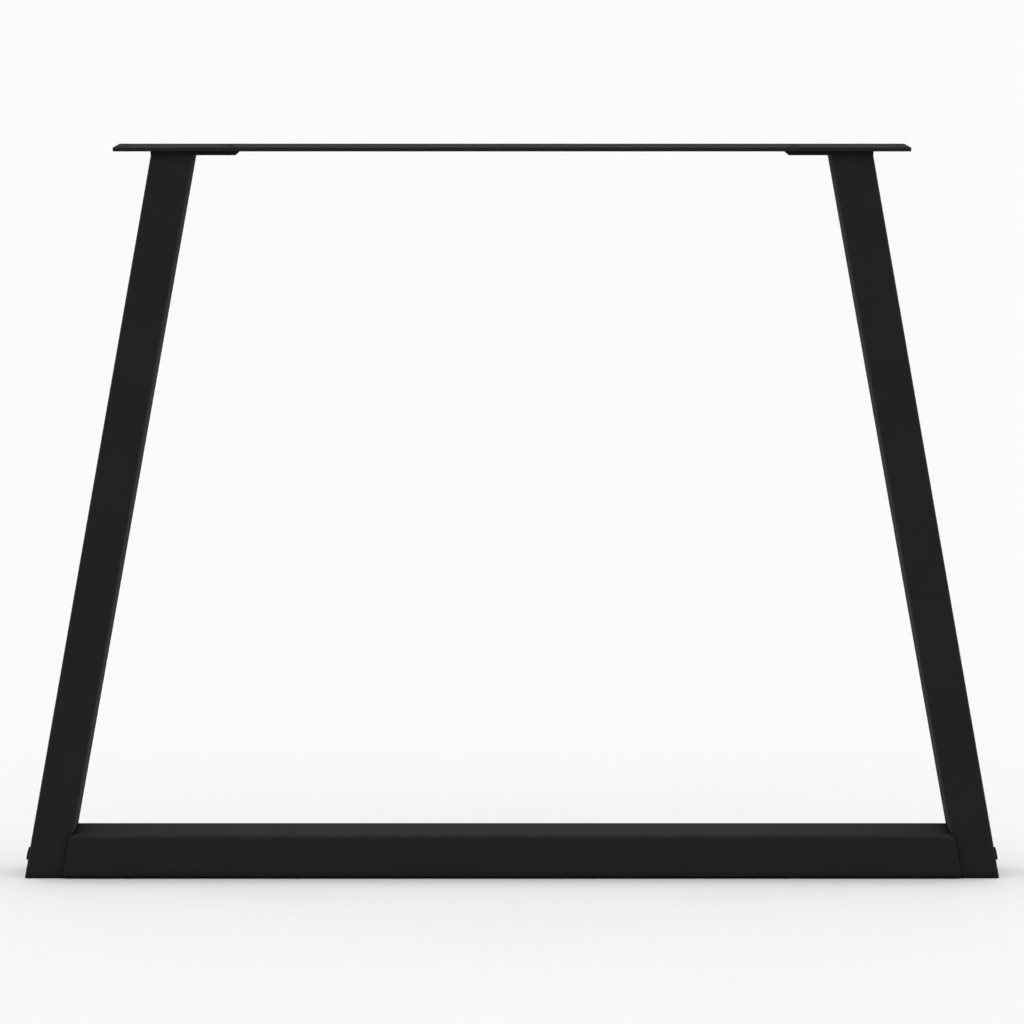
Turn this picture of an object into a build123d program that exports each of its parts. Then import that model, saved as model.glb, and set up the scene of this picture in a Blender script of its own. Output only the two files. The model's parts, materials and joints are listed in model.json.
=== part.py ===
from build123d import *
from math import atan2, cos, sin, tan
import os

# A knock-down steel table leg: two leaning uprights and a foot bar make a trapezoid under a flat top plate.
# Millimetres. The origin is on the floor below the middle, +X runs along the foot bar and +Z is up.

# Overall form
leg_height = 730
foot_width = 975  # over the outer faces of the uprights, at the floor
top_width = 694  # over the same faces, at the uprights' upper ends

# Top plate, fixed to the table top with a wood screw through each end hole
plate_overhang = 35.5  # past the uprights' upper ends, on each side
plate_depth = 50
plate_thickness = 4
table_hole_diameter = 6
table_hole_inset = 9  # from the plate's end
table_hole_pitch = 20  # across the plate

# Flanges on the uprights, which carry the top plate
flange_length = 82
flange_thickness = 4
screw_inset = 8  # from the flange's inner end
screw_pitch = 25  # across the flange
flat_edge_chamfer = 0.5  # of the flanges and the top plate

# Square tubes, with corners as they come from the rolls
upright_size = 40
upright_wall = 1.5
bar_wall = 2
tube_inner_radius = 1.25

# Saddle ends of the foot bar, whose front and back walls lap over the uprights
nest_clearance = 0.5  # between a lip and the upright's face
wall_gap = 1  # between the upright and the bar's top and bottom walls
lip_length = 3
lip_corner_radius = 4
lip_edge_radius = 1.8

# Plates welded inside the tubes
end_plate_thickness = 4
end_plate_corner_radius = 3
foot_cap_thickness = 2
foot_cap_corner_radius = 3

# Side bolts, square to the uprights
bolt_height = 23  # where the axis meets the upright's outer face, above the floor
bolt_pitch = 22  # across the upright
bolt_length = 45  # under the head
bolt_head_diameter = 13
bolt_head_height = 2
bolt_head_chamfer = 0.5

# Countersunk screws through the top plate
screw_length = 8  # with the head
screw_head_diameter = 12
screw_sink = 0.4  # of the heads below the plate's face

# Both kinds of fastener
thread_diameter = 6
thread_hole_clearance = 0.6  # of a plain hole that a thread passes through
thread_tip_chamfer = 0.6
hex_key_width = 4
hex_socket_depth = 2.2

# Sizes that follow from the ones above
foot_half = foot_width / 2
flange_outer = top_width / 2
flange_inner = flange_outer - flange_length
plate_length = top_width + 2 * plate_overhang
upright_top = leg_height - plate_thickness - flange_thickness
lean = atan2(foot_half - flange_outer, upright_top)  # of the uprights, from the vertical, in radians
upright_level_width = upright_size / cos(lean)
bar_bore = upright_size + 2 * nest_clearance
bar_size = bar_bore + 2 * bar_wall
plain_hole_diameter = thread_diameter + thread_hole_clearance
past_everything = 2 * (foot_width + leg_height)

# The right upright's own frame: x out of its outer face, y to the back, z up along the tube
right_side = Plane(
    origin=(foot_half, 0, 0),
    x_dir=(cos(lean), 0, sin(lean)),
    z_dir=(-sin(lean), 0, cos(lean)),
).location
upright_axis = right_side * Pos(-upright_size / 2, 0, 0)

across_bolts = (-bolt_pitch / 2, bolt_pitch / 2)
bolt_places = [right_side * Pos(0, y, bolt_height / cos(lean)) * Rot(0, 90, 0) for y in across_bolts]
across_screws = (-screw_pitch / 2, screw_pitch / 2)
screw_places = [Pos(flange_inner + screw_inset, y, leg_height) for y in across_screws]


def mirrored(shape):
    return mirror(shape, about=Plane.YZ)


def rounded_square_bar(size, radius):
    return extrude(RectangleRounded(size, size, radius), past_everything / 2, both=True)


def square_tube(size, wall):
    outside = rounded_square_bar(size, tube_inner_radius + wall)
    inside = rounded_square_bar(size - 2 * wall, tube_inner_radius)
    return outside - inside


def between_heights(shape, low, high):
    slab = Pos(0, 0, (low + high) / 2) * Box(past_everything, past_everything, high - low)
    return shape & slab


def flat_plate(length, depth, thickness):
    plate = Box(length, depth, thickness)
    return chamfer(plate.edges(), flat_edge_chamfer)


def drilled(shape, places, diameter):
    drill = Cylinder(diameter / 2, past_everything / 4)
    for place in places:
        shape -= place * drill
    return shape


def hex_socket():
    # Opens upwards from the level z = 0
    return extrude(RegularPolygon(hex_key_width / 2, 6, major_radius=False), -hex_socket_depth)


def threaded_shank(length):
    # Hangs down from the level z = 0
    shank = Pos(0, 0, -length / 2) * Cylinder(thread_diameter / 2, length)
    return chamfer(shank.edges().sort_by(Axis.Z)[0], thread_tip_chamfer)


def side_bolt():
    # The head stands on the level z = 0
    head = Pos(0, 0, bolt_head_height / 2) * Cylinder(bolt_head_diameter / 2, bolt_head_height)
    head = chamfer(head.edges().sort_by(Axis.Z)[-1], bolt_head_chamfer)
    return head + threaded_shank(bolt_length) - Pos(0, 0, bolt_head_height) * hex_socket()


def countersink(rim_diameter):
    # A right-angled cone down from the level z = 0, from its rim to the thread
    depth = (rim_diameter - thread_diameter) / 2
    return Pos(0, 0, -depth / 2) * Cone(thread_diameter / 2, rim_diameter / 2, depth)


def plate_screw():
    screw = countersink(screw_head_diameter) + threaded_shank(screw_length) - hex_socket()
    return Pos(0, 0, -screw_sink) * screw


def top_plate():
    middle = Pos(0, 0, leg_height - plate_thickness / 2)
    plate = middle * flat_plate(plate_length, plate_depth, plate_thickness)
    end_hole = plate_length / 2 - table_hole_inset
    table_hole_places = [
        Pos(x, y, leg_height)
        for x in (-end_hole, end_hole)
        for y in (-table_hole_pitch / 2, table_hole_pitch / 2)
    ]
    plate = drilled(plate, table_hole_places, table_hole_diameter)
    for place in screw_places:
        cone = place * countersink(screw_head_diameter + 2 * screw_sink)
        seat = cone + place * Cylinder(plain_hole_diameter / 2, past_everything / 4)
        plate = plate - seat - mirrored(seat)
    return plate


def right_flange():
    middle = Pos((flange_inner + flange_outer) / 2, 0, upright_top + flange_thickness / 2)
    flange = middle * flat_plate(flange_length, upright_size, flange_thickness)
    return drilled(flange, screw_places, thread_diameter)


def right_upright():
    tube = between_heights(upright_axis * square_tube(upright_size, upright_wall), 0, upright_top)
    return drilled(tube, bolt_places, plain_hole_diameter)


def right_foot_cap():
    mouth = rounded_square_bar(upright_size - 2 * upright_wall, foot_cap_corner_radius)
    return between_heights(upright_axis * mouth, 0, foot_cap_thickness)


def lip_reach(height):
    # Half the foot bar's length at a height, out to the rims of its lips
    return foot_half - upright_level_width + lip_length / cos(lean) - height * tan(lean)


def foot_bar():
    tube = Pos(0, 0, bar_size / 2) * Rot(0, 90, 0) * square_tube(bar_size, bar_wall)
    side_view = Polygon(
        (-lip_reach(0), 0),
        (lip_reach(0), 0),
        (lip_reach(bar_size), bar_size),
        (-lip_reach(bar_size), bar_size),
        align=None,
    )
    side_view = fillet(side_view.vertices(), lip_corner_radius)
    block = extrude(Plane.XZ * side_view, bar_size / 2, both=True)
    front_to_back = block.faces().sort_by(Axis.Y)
    rims = front_to_back[0].edges() + front_to_back[-1].edges()
    bar = tube & fillet(rims, lip_edge_radius)
    # The upright takes the place of all but the front and back walls
    nest = right_side * Box(2 * (upright_size + wall_gap), bar_bore, 4 * bar_size)
    return bar - nest - mirrored(nest)


def right_end_plate():
    bore = Pos(0, 0, bar_size / 2) * Rot(0, 90, 0) * rounded_square_bar(bar_bore, end_plate_corner_radius)
    behind_upright = right_side * Pos(-upright_size - end_plate_thickness / 2, 0, 0)
    plate = bore & behind_upright * Box(end_plate_thickness, 2 * bar_size, 4 * bar_size)
    return drilled(plate, bolt_places, thread_diameter)


def both_sides(places, fastener):
    right = [place * fastener for place in places]
    left = [mirrored(solid) for solid in right]
    return Compound(children=left + right)


parts = {
    "top_plate": top_plate(),
    "foot_bar": foot_bar(),
    "side_bolts": both_sides(bolt_places, side_bolt()),
    "plate_screws": both_sides(screw_places, plate_screw()),
}
for piece, solid in {
    "flange": right_flange(),
    "upright": right_upright(),
    "foot_cap": right_foot_cap(),
    "end_plate": right_end_plate(),
}.items():
    parts["right_" + piece] = solid
    parts["left_" + piece] = mirrored(solid)

os.makedirs("parts", exist_ok=True)
for name, solid in parts.items():
    solid.label = name
    export_step(solid, f"parts/{name}.step")
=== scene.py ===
import json
from math import atan2, cos, pi, radians, sin, sqrt, tan

import bmesh
import bpy
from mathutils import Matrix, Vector


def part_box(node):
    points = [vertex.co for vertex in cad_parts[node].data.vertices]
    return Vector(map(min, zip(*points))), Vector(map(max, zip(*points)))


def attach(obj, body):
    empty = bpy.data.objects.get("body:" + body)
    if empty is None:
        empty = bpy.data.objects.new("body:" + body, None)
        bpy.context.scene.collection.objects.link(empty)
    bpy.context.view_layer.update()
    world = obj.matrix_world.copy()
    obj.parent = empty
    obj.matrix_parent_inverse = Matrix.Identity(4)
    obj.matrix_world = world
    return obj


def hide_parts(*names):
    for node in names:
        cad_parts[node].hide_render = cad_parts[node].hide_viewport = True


# A black knock-down table leg: leaning square tubes on a foot bar, under a flat top plate. Metres, +Z up.
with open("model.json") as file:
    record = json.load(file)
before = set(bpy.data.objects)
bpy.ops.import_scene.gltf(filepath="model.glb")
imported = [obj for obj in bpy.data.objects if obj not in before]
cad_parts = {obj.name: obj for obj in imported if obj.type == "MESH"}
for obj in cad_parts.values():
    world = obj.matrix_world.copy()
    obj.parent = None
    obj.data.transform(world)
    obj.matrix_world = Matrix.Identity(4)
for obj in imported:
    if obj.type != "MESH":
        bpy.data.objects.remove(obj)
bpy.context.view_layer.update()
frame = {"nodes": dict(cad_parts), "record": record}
scene = bpy.context.scene
millimetre = 0.001
noiseLow, noiseHigh = 0.3, 0.7  # nearly all of a noise texture's values lie between these
mixFactor, mixFirst, mixSecond, mixResult = 0, 6, 7, 2  # places of a Mix node's sockets for colours
print("frame loaded:", len(frame["nodes"]), "pieces")


def hexColour(code):  # sRGB hex to linear RGBA
    shares = [int(code[i:i + 2], 16) / 255 for i in (1, 3, 5)]
    return [s / 12.92 if s <= 0.04045 else ((s + 0.055) / 1.055) ** 2.4 for s in shares] + [1]


def addNode(tree, kind, inputs=None, **settings):
    # Adds a node, sets its options, then fills each input with a value or a link
    node = tree.nodes.new(kind)
    for name, value in settings.items():
        setattr(node, name, value)
    for name, value in (inputs or {}).items():
        for item in value if isinstance(value, tuple) else (value,):
            if isinstance(item, bpy.types.NodeSocket):
                tree.links.new(item, node.inputs[name])
            else:
                node.inputs[name].default_value = item
    return node


def newMaterial(name):
    material = bpy.data.materials.new(name)
    material.use_nodes = True
    material.node_tree.nodes.clear()
    return material, material.node_tree


# Matt polyester powder coat, sprayed and baked on steel: a neutral black with hardly any shine,
# slow clouds of film thickness, a fine grit over the faint waves of orange peel, and painted shade in inside
# corners
powderCoat = {
    "deepColour": "#303030",
    "paleColour": "#363636",
    "cloudSize": 70 * millimetre,  # slow change of film thickness along a tube
    "peelSize": 5 * millimetre,
    "peelHeight": 0.15 * millimetre,
    "gritSize": 0.8 * millimetre,  # real grit is about 0.3 mm, drawn coarser so that it shows
    "gritHeight": 0.2 * millimetre,
    "gritShade": 0.2,  # how much paler the peaks and darker the hollows of the grit are
    "smoothest": 0.88,
    "roughest": 0.98,
    "specularLevel": 0.02,
    # painted shade: the colour that inside corners and joints between parts are darkened towards
    "paintedShadeColour": "#020202",
    "paintedShadeReach": 10 * millimetre,  # painted shade: within this reach of an inside corner or a joint the colour darkens, by ambient occlusion
}


def powderCoatMaterial(look):
    material, tree = newMaterial("powderCoatedSteel")
    place = addNode(tree, "ShaderNodeTexCoord").outputs["Object"]
    cloud = addNode(tree, "ShaderNodeTexNoise", {
        "Vector": place, "Scale": 1 / look["cloudSize"], "Detail": 3,
    }).outputs["Fac"]
    peel = addNode(tree, "ShaderNodeTexNoise", {
        "Vector": place, "Scale": 1 / look["peelSize"], "Detail": 1,
    }).outputs["Fac"]
    grit = addNode(tree, "ShaderNodeTexNoise", {
        "Vector": place, "Scale": 1 / look["gritSize"], "Detail": 2,
    }).outputs["Fac"]
    tone = addNode(tree, "ShaderNodeMix", {
        mixFactor: cloud,
        mixFirst: hexColour(look["deepColour"]),
        mixSecond: hexColour(look["paleColour"]),
    }, data_type="RGBA")
    shade = addNode(tree, "ShaderNodeMapRange", {
        "Value": grit, "From Min": noiseLow, "From Max": noiseHigh,
        "To Min": 1 - look["gritShade"], "To Max": 1 + look["gritShade"],
    })
    speckled = addNode(tree, "ShaderNodeVectorMath", {
        0: tone.outputs[mixResult], "Scale": shade.outputs["Result"],
    }, operation="SCALE")
    # Painted shade: ambient occlusion darkens the base colour in inside corners and where parts meet
    corner = addNode(tree, "ShaderNodeAmbientOcclusion", {"Distance": look["paintedShadeReach"]})
    cornerShaded = addNode(tree, "ShaderNodeMix", {
        mixFactor: corner.outputs["AO"],
        mixFirst: hexColour(look["paintedShadeColour"]),
        mixSecond: speckled.outputs["Vector"],
    }, data_type="RGBA")
    gloss = addNode(tree, "ShaderNodeMapRange", {
        "Value": grit, "From Min": noiseLow, "From Max": noiseHigh,
        "To Min": look["smoothest"], "To Max": look["roughest"],
    })
    waves = addNode(tree, "ShaderNodeBump", {"Height": peel, "Distance": look["peelHeight"]})
    pebbles = addNode(tree, "ShaderNodeBump", {
        "Height": grit, "Distance": look["gritHeight"], "Normal": waves.outputs["Normal"],
    })
    surface = addNode(tree, "ShaderNodeBsdfPrincipled", {
        "Base Color": cornerShaded.outputs[mixResult],
        "Roughness": gloss.outputs["Result"],
        "Specular IOR Level": look["specularLevel"],
        "Normal": pebbles.outputs["Normal"],
    })
    addNode(tree, "ShaderNodeOutputMaterial", {"Surface": surface.outputs["BSDF"]})
    return material


# Black oxide on turned steel: a thin dark film that keeps the metal's sheen and the rings of the lathe
blackOxide = {
    "filmColour": "#1e1e1e",
    "rubbedColour": "#282828",
    "glancingColour": "#707070",  # the film soaks up light along the face too
    "blotchSize": 2 * millimetre,
    "ringPitch": 0.5 * millimetre,  # real feed marks are about 0.1 mm, drawn coarser so that they show
    "ringHeight": 0.01 * millimetre,
    "smoothest": 0.48,
    "roughest": 0.62,
}


def blackOxideMaterial(look):
    material, tree = newMaterial("blackOxideSteel")
    turned = addNode(tree, "ShaderNodeAttribute", attribute_name="turnedPlace").outputs["Vector"]
    blotch = addNode(tree, "ShaderNodeTexNoise", {
        "Vector": turned, "Scale": 1 / look["blotchSize"], "Detail": 2,
    }).outputs["Fac"]
    # Rings round each fastener's own axis
    across = addNode(tree, "ShaderNodeVectorMath", {0: turned, 1: [1, 1, 0]}, operation="MULTIPLY")
    radius = addNode(tree, "ShaderNodeVectorMath", {0: across.outputs["Vector"]}, operation="LENGTH")
    turns = addNode(tree, "ShaderNodeMath", {
        0: radius.outputs["Value"], 1: 2 * pi / look["ringPitch"],
    }, operation="MULTIPLY")
    rings = addNode(tree, "ShaderNodeMath", {0: turns.outputs["Value"]}, operation="SINE")
    marks = addNode(tree, "ShaderNodeBump", {
        "Height": rings.outputs["Value"], "Distance": look["ringHeight"],
    })
    tone = addNode(tree, "ShaderNodeMix", {
        mixFactor: blotch,
        mixFirst: hexColour(look["filmColour"]),
        mixSecond: hexColour(look["rubbedColour"]),
    }, data_type="RGBA")
    gloss = addNode(tree, "ShaderNodeMapRange", {
        "Value": blotch, "From Min": noiseLow, "From Max": noiseHigh,
        "To Min": look["smoothest"], "To Max": look["roughest"],
    })
    surface = addNode(tree, "ShaderNodeBsdfPrincipled", {
        "Base Color": tone.outputs[mixResult],
        "Metallic": 1.0,
        "Specular Tint": hexColour(look["glancingColour"]),
        "Roughness": gloss.outputs["Result"],
        "Normal": marks.outputs["Normal"],
    })
    addNode(tree, "ShaderNodeOutputMaterial", {"Surface": surface.outputs["BSDF"]})
    return material


powderCoatedSteel = powderCoatMaterial(powderCoat)
blackOxideSteel = blackOxideMaterial(blackOxide)
subparts = frame["record"]["subparts"]
coatedNodes = [part["node"] for part in subparts if part["material_slot"] == "powder_coat"]
for name in coatedNodes:
    coated = frame["nodes"][name].data
    coated.materials.clear()
    coated.materials.append(powderCoatedSteel)
print("powder coat on", len(coatedNodes), "pieces")


def fastenerTree():
    # A turned head with a hex socket on a plain shank. The middle of the head's top is at the seat point,
    # and the axis runs into the steel
    roundSides = 64
    tree = bpy.data.node_groups.new("socketFastener", "GeometryNodeTree")
    tree.interface.new_socket("Seats", in_out="INPUT", socket_type="NodeSocketGeometry")
    for name in (
        "Rim Radius", "Head End Radius", "Head Depth", "Thread Radius",
        "Length", "Socket Radius", "Socket Depth",
    ):
        tree.interface.new_socket(name, in_out="INPUT", socket_type="NodeSocketFloat")
    tree.interface.new_socket("Finish", in_out="INPUT", socket_type="NodeSocketMaterial")
    tree.interface.new_socket("Fasteners", in_out="OUTPUT", socket_type="NodeSocketGeometry")
    size = addNode(tree, "NodeGroupInput").outputs
    head = addNode(tree, "GeometryNodeMeshCone", {
        "Vertices": roundSides, "Radius Bottom": size["Rim Radius"], "Radius Top": size["Head End Radius"],
        "Depth": size["Head Depth"],
    })
    # The shank starts half way down the head, so that the two overlap
    start = addNode(tree, "ShaderNodeMath", {0: size["Head Depth"], 1: 0.5}, operation="MULTIPLY")
    reach = addNode(tree, "ShaderNodeMath", {
        0: size["Length"], 1: start.outputs["Value"],
    }, operation="SUBTRACT")
    shank = addNode(tree, "GeometryNodeMeshCone", {
        "Vertices": roundSides, "Radius Bottom": size["Thread Radius"], "Radius Top": size["Thread Radius"],
        "Depth": reach.outputs["Value"],
    })
    below = addNode(tree, "ShaderNodeCombineXYZ", {"Z": start.outputs["Value"]})
    shank = addNode(tree, "GeometryNodeTransform", {
        "Geometry": shank.outputs["Mesh"], "Translation": below.outputs["Vector"],
    })
    turned = addNode(tree, "GeometryNodeMeshBoolean", {
        "Mesh 2": (head.outputs["Mesh"], shank.outputs["Geometry"]),
    }, operation="UNION")
    # The cutter for the key's hole stands as far out of the head as it goes in
    throughTop = addNode(tree, "ShaderNodeMath", {0: size["Socket Depth"], 1: 2.0}, operation="MULTIPLY")
    socket = addNode(tree, "GeometryNodeMeshCylinder", {
        "Vertices": 6, "Radius": size["Socket Radius"], "Depth": throughTop.outputs["Value"],
    })
    drilled = addNode(tree, "GeometryNodeMeshBoolean", {
        "Mesh 1": turned.outputs["Mesh"], "Mesh 2": socket.outputs["Mesh"],
    }, operation="DIFFERENCE")
    place = addNode(tree, "GeometryNodeInputPosition").outputs["Position"]
    marked = addNode(tree, "GeometryNodeStoreNamedAttribute", {
        "Geometry": drilled.outputs["Mesh"], "Name": "turnedPlace", "Value": place,
    }, data_type="FLOAT_VECTOR", domain="POINT")
    axis = addNode(tree, "GeometryNodeInputNamedAttribute", {"Name": "seatAxis"}, data_type="FLOAT_VECTOR")
    turn = addNode(tree, "FunctionNodeAlignRotationToVector", {
        "Vector": axis.outputs["Attribute"],
    }, axis="Z")
    placed = addNode(tree, "GeometryNodeInstanceOnPoints", {
        "Points": size["Seats"],
        "Instance": marked.outputs["Geometry"],
        "Rotation": turn.outputs["Rotation"],
    })
    real = addNode(tree, "GeometryNodeRealizeInstances", {"Geometry": placed.outputs["Instances"]})
    finished = addNode(tree, "GeometryNodeSetMaterial", {
        "Geometry": real.outputs["Geometry"], "Material": size["Finish"],
    })
    addNode(tree, "NodeGroupOutput", {"Fasteners": finished.outputs["Geometry"]})
    return tree


def setFasteners(name, seats, fastener, tree):
    # seats holds the middle of the head's top and the axis into the steel, for each fastener
    roundedFrom = radians(25)  # an edge that turns more than this is rounded
    creaseFrom = radians(40)  # and one that still turns more than this stays sharp to the eye
    sizes = {
        "Rim Radius": fastener["headDiameter"] / 2,
        "Head End Radius": fastener["headEndDiameter"] / 2,
        "Head Depth": fastener["headDepth"],
        "Thread Radius": fastener["threadDiameter"] / 2,
        "Length": fastener["length"],
        "Socket Radius": fastener["socketWidth"] / sqrt(3),  # to the corners of the hexagon
        "Socket Depth": fastener["socketDepth"],
        "Finish": blackOxideSteel,
    }
    mesh = bpy.data.meshes.new(name + "Seats")
    mesh.from_pydata([point for point, axis in seats], [], [])
    axes = mesh.attributes.new("seatAxis", "FLOAT_VECTOR", "POINT")
    for item, (point, axis) in zip(axes.data, seats):
        item.vector = axis
    piece = bpy.data.objects.new(name, mesh)
    scene.collection.objects.link(piece)
    modifier = piece.modifiers.new("fasteners", "NODES")
    modifier.node_group = tree
    for socket in tree.interface.items_tree:
        if socket.in_out == "INPUT" and socket.name in sizes:
            modifier[socket.identifier] = sizes[socket.name]
    rounding = piece.modifiers.new("rounding", "BEVEL")
    rounding.width = fastener["edgeRounding"]
    rounding.segments = 3
    rounding.limit_method = "ANGLE"
    rounding.angle_limit = roundedFrom
    evaluated = piece.evaluated_get(bpy.context.evaluated_depsgraph_get())
    made = bpy.data.meshes.new_from_object(evaluated)
    piece.modifiers.clear()
    piece.data = made
    for face in made.polygons:
        face.use_smooth = True
    made.set_sharp_from_angle(angle=creaseFrom)
    print(name, "made,", len(made.polygons), "faces")
    return piece


# Low flat heads on the outer faces of the uprights, square to them
sideBolt = {
    "headDiameter": 13 * millimetre,
    "headEndDiameter": 13 * millimetre,
    "headDepth": 2 * millimetre,
    "threadDiameter": 6 * millimetre,
    "length": 47 * millimetre,  # with the head
    "socketWidth": 4 * millimetre,
    "socketDepth": 2.2 * millimetre,
    "edgeRounding": 0.4 * millimetre,
    "seatHeight": 23 * millimetre,  # above the floor, on the upright's face
}

# Countersunk heads just under the top plate's face, through it into the flanges
plateScrew = {
    "headDiameter": 12 * millimetre,
    "headEndDiameter": 4.8 * millimetre,  # a right-angled cone that ends inside the shank
    "headDepth": 3.6 * millimetre,
    "threadDiameter": 6 * millimetre,
    "length": 8 * millimetre,  # with the head
    "socketWidth": 4 * millimetre,
    "socketDepth": 2.2 * millimetre,
    "edgeRounding": 0.15 * millimetre,
}

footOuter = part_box("right_upright")[1].x
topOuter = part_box("right_flange")[1].x
lean = atan2(footOuter - topOuter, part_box("right_upright")[1].z)
boltX = footOuter - sideBolt["seatHeight"] * tan(lean) + sideBolt["headDepth"] * cos(lean)
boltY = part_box("side_bolts")[1].y - sideBolt["headDiameter"] / 2
boltZ = sideBolt["seatHeight"] + sideBolt["headDepth"] * sin(lean)
boltSeats = [
    ((side * boltX, back * boltY, boltZ), (-side * cos(lean), 0, -sin(lean)))
    for side in (-1, 1) for back in (-1, 1)
]
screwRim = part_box("plate_screws")[1]
screwX = screwRim.x - plateScrew["headDiameter"] / 2
screwY = screwRim.y - plateScrew["headDiameter"] / 2
screwSeats = [
    ((side * screwX, back * screwY, screwRim.z), (0, 0, -1))
    for side in (-1, 1) for back in (-1, 1)
]

socketFastener = fastenerTree()
sideBolts = setFasteners("sideBolts", boltSeats, sideBolt, socketFastener)
plateScrews = setFasteners("plateScrews", screwSeats, plateScrew, socketFastener)
for piece, node in ((sideBolts, "side_bolts"), (plateScrews, "plate_screws")):
    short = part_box(node)[1].y - max(point.co.y for point in piece.data.vertices)
    print(node, "replaced, heads off its width by", round(short / millimetre, 3), "mm")
    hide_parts(node)
    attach(piece, "root")


# White studio paper, with soft boxes on both sides and a weaker one above
studio = {
    "paperColour": "#fcfcfc",
    "bounceColour": "#a0a0a0",  # what the paper throws back at the leg, so that its fronts stay dark
    "paperReach": 60.0,
    "paperDrop": 0.2 * millimetre,  # keeps the paper clear of the foot's own face
    "ambient": 0.2,
    "topStrength": 1.35,
    "sideStrength": 2.8,
    "sideHeight": radians(8),  # above the floor
    "spread": radians(65),
}


def seenByEye(tree):
    # 1 for a ray of the camera, straight, by a gloss or through glass, and 0 for one that only lights the leg
    path = addNode(tree, "ShaderNodeLightPath").outputs
    seen = addNode(tree, "ShaderNodeMath", {
        0: path["Is Camera Ray"], 1: path["Is Glossy Ray"],
    }, operation="MAXIMUM")
    seen = addNode(tree, "ShaderNodeMath", {
        0: seen.outputs["Value"], 1: path["Is Transmission Ray"],
    }, operation="MAXIMUM")
    return seen.outputs["Value"]


def studioFloor(look):
    material, tree = newMaterial("studioPaper")
    colour = addNode(tree, "ShaderNodeMix", {
        mixFactor: seenByEye(tree),
        mixFirst: hexColour(look["bounceColour"]),
        mixSecond: hexColour(look["paperColour"]),
    }, data_type="RGBA")
    surface = addNode(tree, "ShaderNodeBsdfDiffuse", {"Color": colour.outputs[mixResult]})
    addNode(tree, "ShaderNodeOutputMaterial", {"Surface": surface.outputs["BSDF"]})
    shape = bmesh.new()
    bmesh.ops.create_grid(shape, x_segments=1, y_segments=1, size=look["paperReach"])
    bmesh.ops.translate(shape, verts=shape.verts, vec=Vector((0, 0, -look["paperDrop"])))
    mesh = bpy.data.meshes.new("studioFloor")
    shape.to_mesh(mesh)
    shape.free()
    mesh.materials.append(material)
    floor = bpy.data.objects.new("studioFloor", mesh)
    scene.collection.objects.link(floor)


def studioLight(look):
    world = bpy.data.worlds.new("studioWorld")
    world.use_nodes = True
    world.node_tree.nodes.clear()
    tree = world.node_tree
    strength = addNode(tree, "ShaderNodeMapRange", {
        "Value": seenByEye(tree), "To Min": look["ambient"], "To Max": 1.0,
    })
    light = addNode(tree, "ShaderNodeBackground", {
        "Color": hexColour(look["paperColour"]), "Strength": strength.outputs["Result"],
    })
    addNode(tree, "ShaderNodeOutputWorld", {"Surface": light.outputs["Background"]})
    scene.world = world
    sideTilt = radians(90) - look["sideHeight"]
    for name, power, tilt in (
        ("topBox", look["topStrength"], (0, 0, 0)),
        ("leftBox", look["sideStrength"], (0, -sideTilt, 0)),
        ("rightBox", look["sideStrength"], (0, sideTilt, 0)),
    ):
        box = bpy.data.lights.new(name, "SUN")
        box.energy = power
        box.angle = look["spread"]
        lamp = bpy.data.objects.new(name, box)
        lamp.rotation_euler = tilt
        scene.collection.objects.link(lamp)


studioFloor(studio)
studioLight(studio)

# In front of the middle, a little above the leg's top and tilted down to it
view = {
    "distance": 2.89,
    "height": 0.94,
    "pitch": radians(9.6),
    "lens": 105,  # mm, as is the sensor's width
    "sensorWidth": 36,
    "shift": -0.08,
}
camera = bpy.data.cameras.new("photoView")
camera.lens = view["lens"]
camera.sensor_width = view["sensorWidth"]
camera.shift_y = view["shift"]
photographer = bpy.data.objects.new("photoView", camera)
photographer.location = (0, -view["distance"], view["height"])
photographer.rotation_euler = (radians(90) - view["pitch"], 0, 0)
scene.collection.objects.link(photographer)
scene.camera = photographer
scene.view_settings.view_transform = "Standard"
print("studio and camera set")
